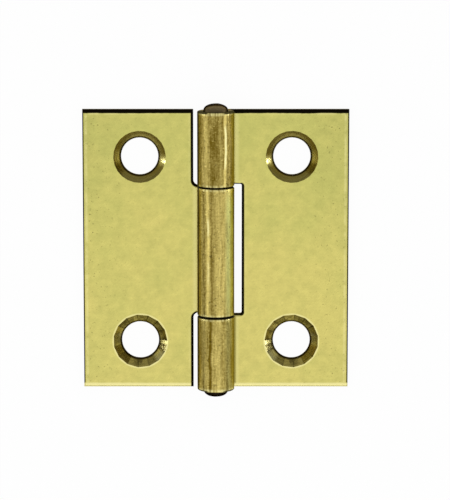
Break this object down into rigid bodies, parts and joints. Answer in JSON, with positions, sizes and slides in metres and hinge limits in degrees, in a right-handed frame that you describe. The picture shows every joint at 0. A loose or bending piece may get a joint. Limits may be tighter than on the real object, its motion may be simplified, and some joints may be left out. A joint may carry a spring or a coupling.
{
  "type": "narrow butt hinge",
  "caption": "Small flat brass butt hinge: pressed sheet leaves with rolled knuckles that turn on a riveted pin, and countersunk screw holes.",
  "frame": {"origin": "on the mounting plane at the back of the leaves, under the middle of the pin", "axes": "+X across the leaves, towards the leaf with a knuckle at each end; +Y along the pin; +Z out of the countersunk faces"},
  "size_m": [0.0236, 0.0264, 0.0033],
  "materials": {
    "leaf_brass": "satin-polished pressed brass sheet, darker in the seams and countersinks",
    "pin_brass": "drawn brass wire with tarnished, hammered ends"
  },
  "bodies": {
    "fixed_leaf": {"twin_knuckle_leaf": "leaf_brass", "pin": "pin_brass"},
    "moving_leaf": {"single_knuckle_leaf": "leaf_brass"}
  },
  "joints": [
    {"name": "leaf_swing", "type": "hinge", "parent": "fixed_leaf", "child": "moving_leaf", "pos_m": [0, 0, 0.00165], "axis": [0, 1, 0], "range_deg": [-90, 180]}
  ]
}
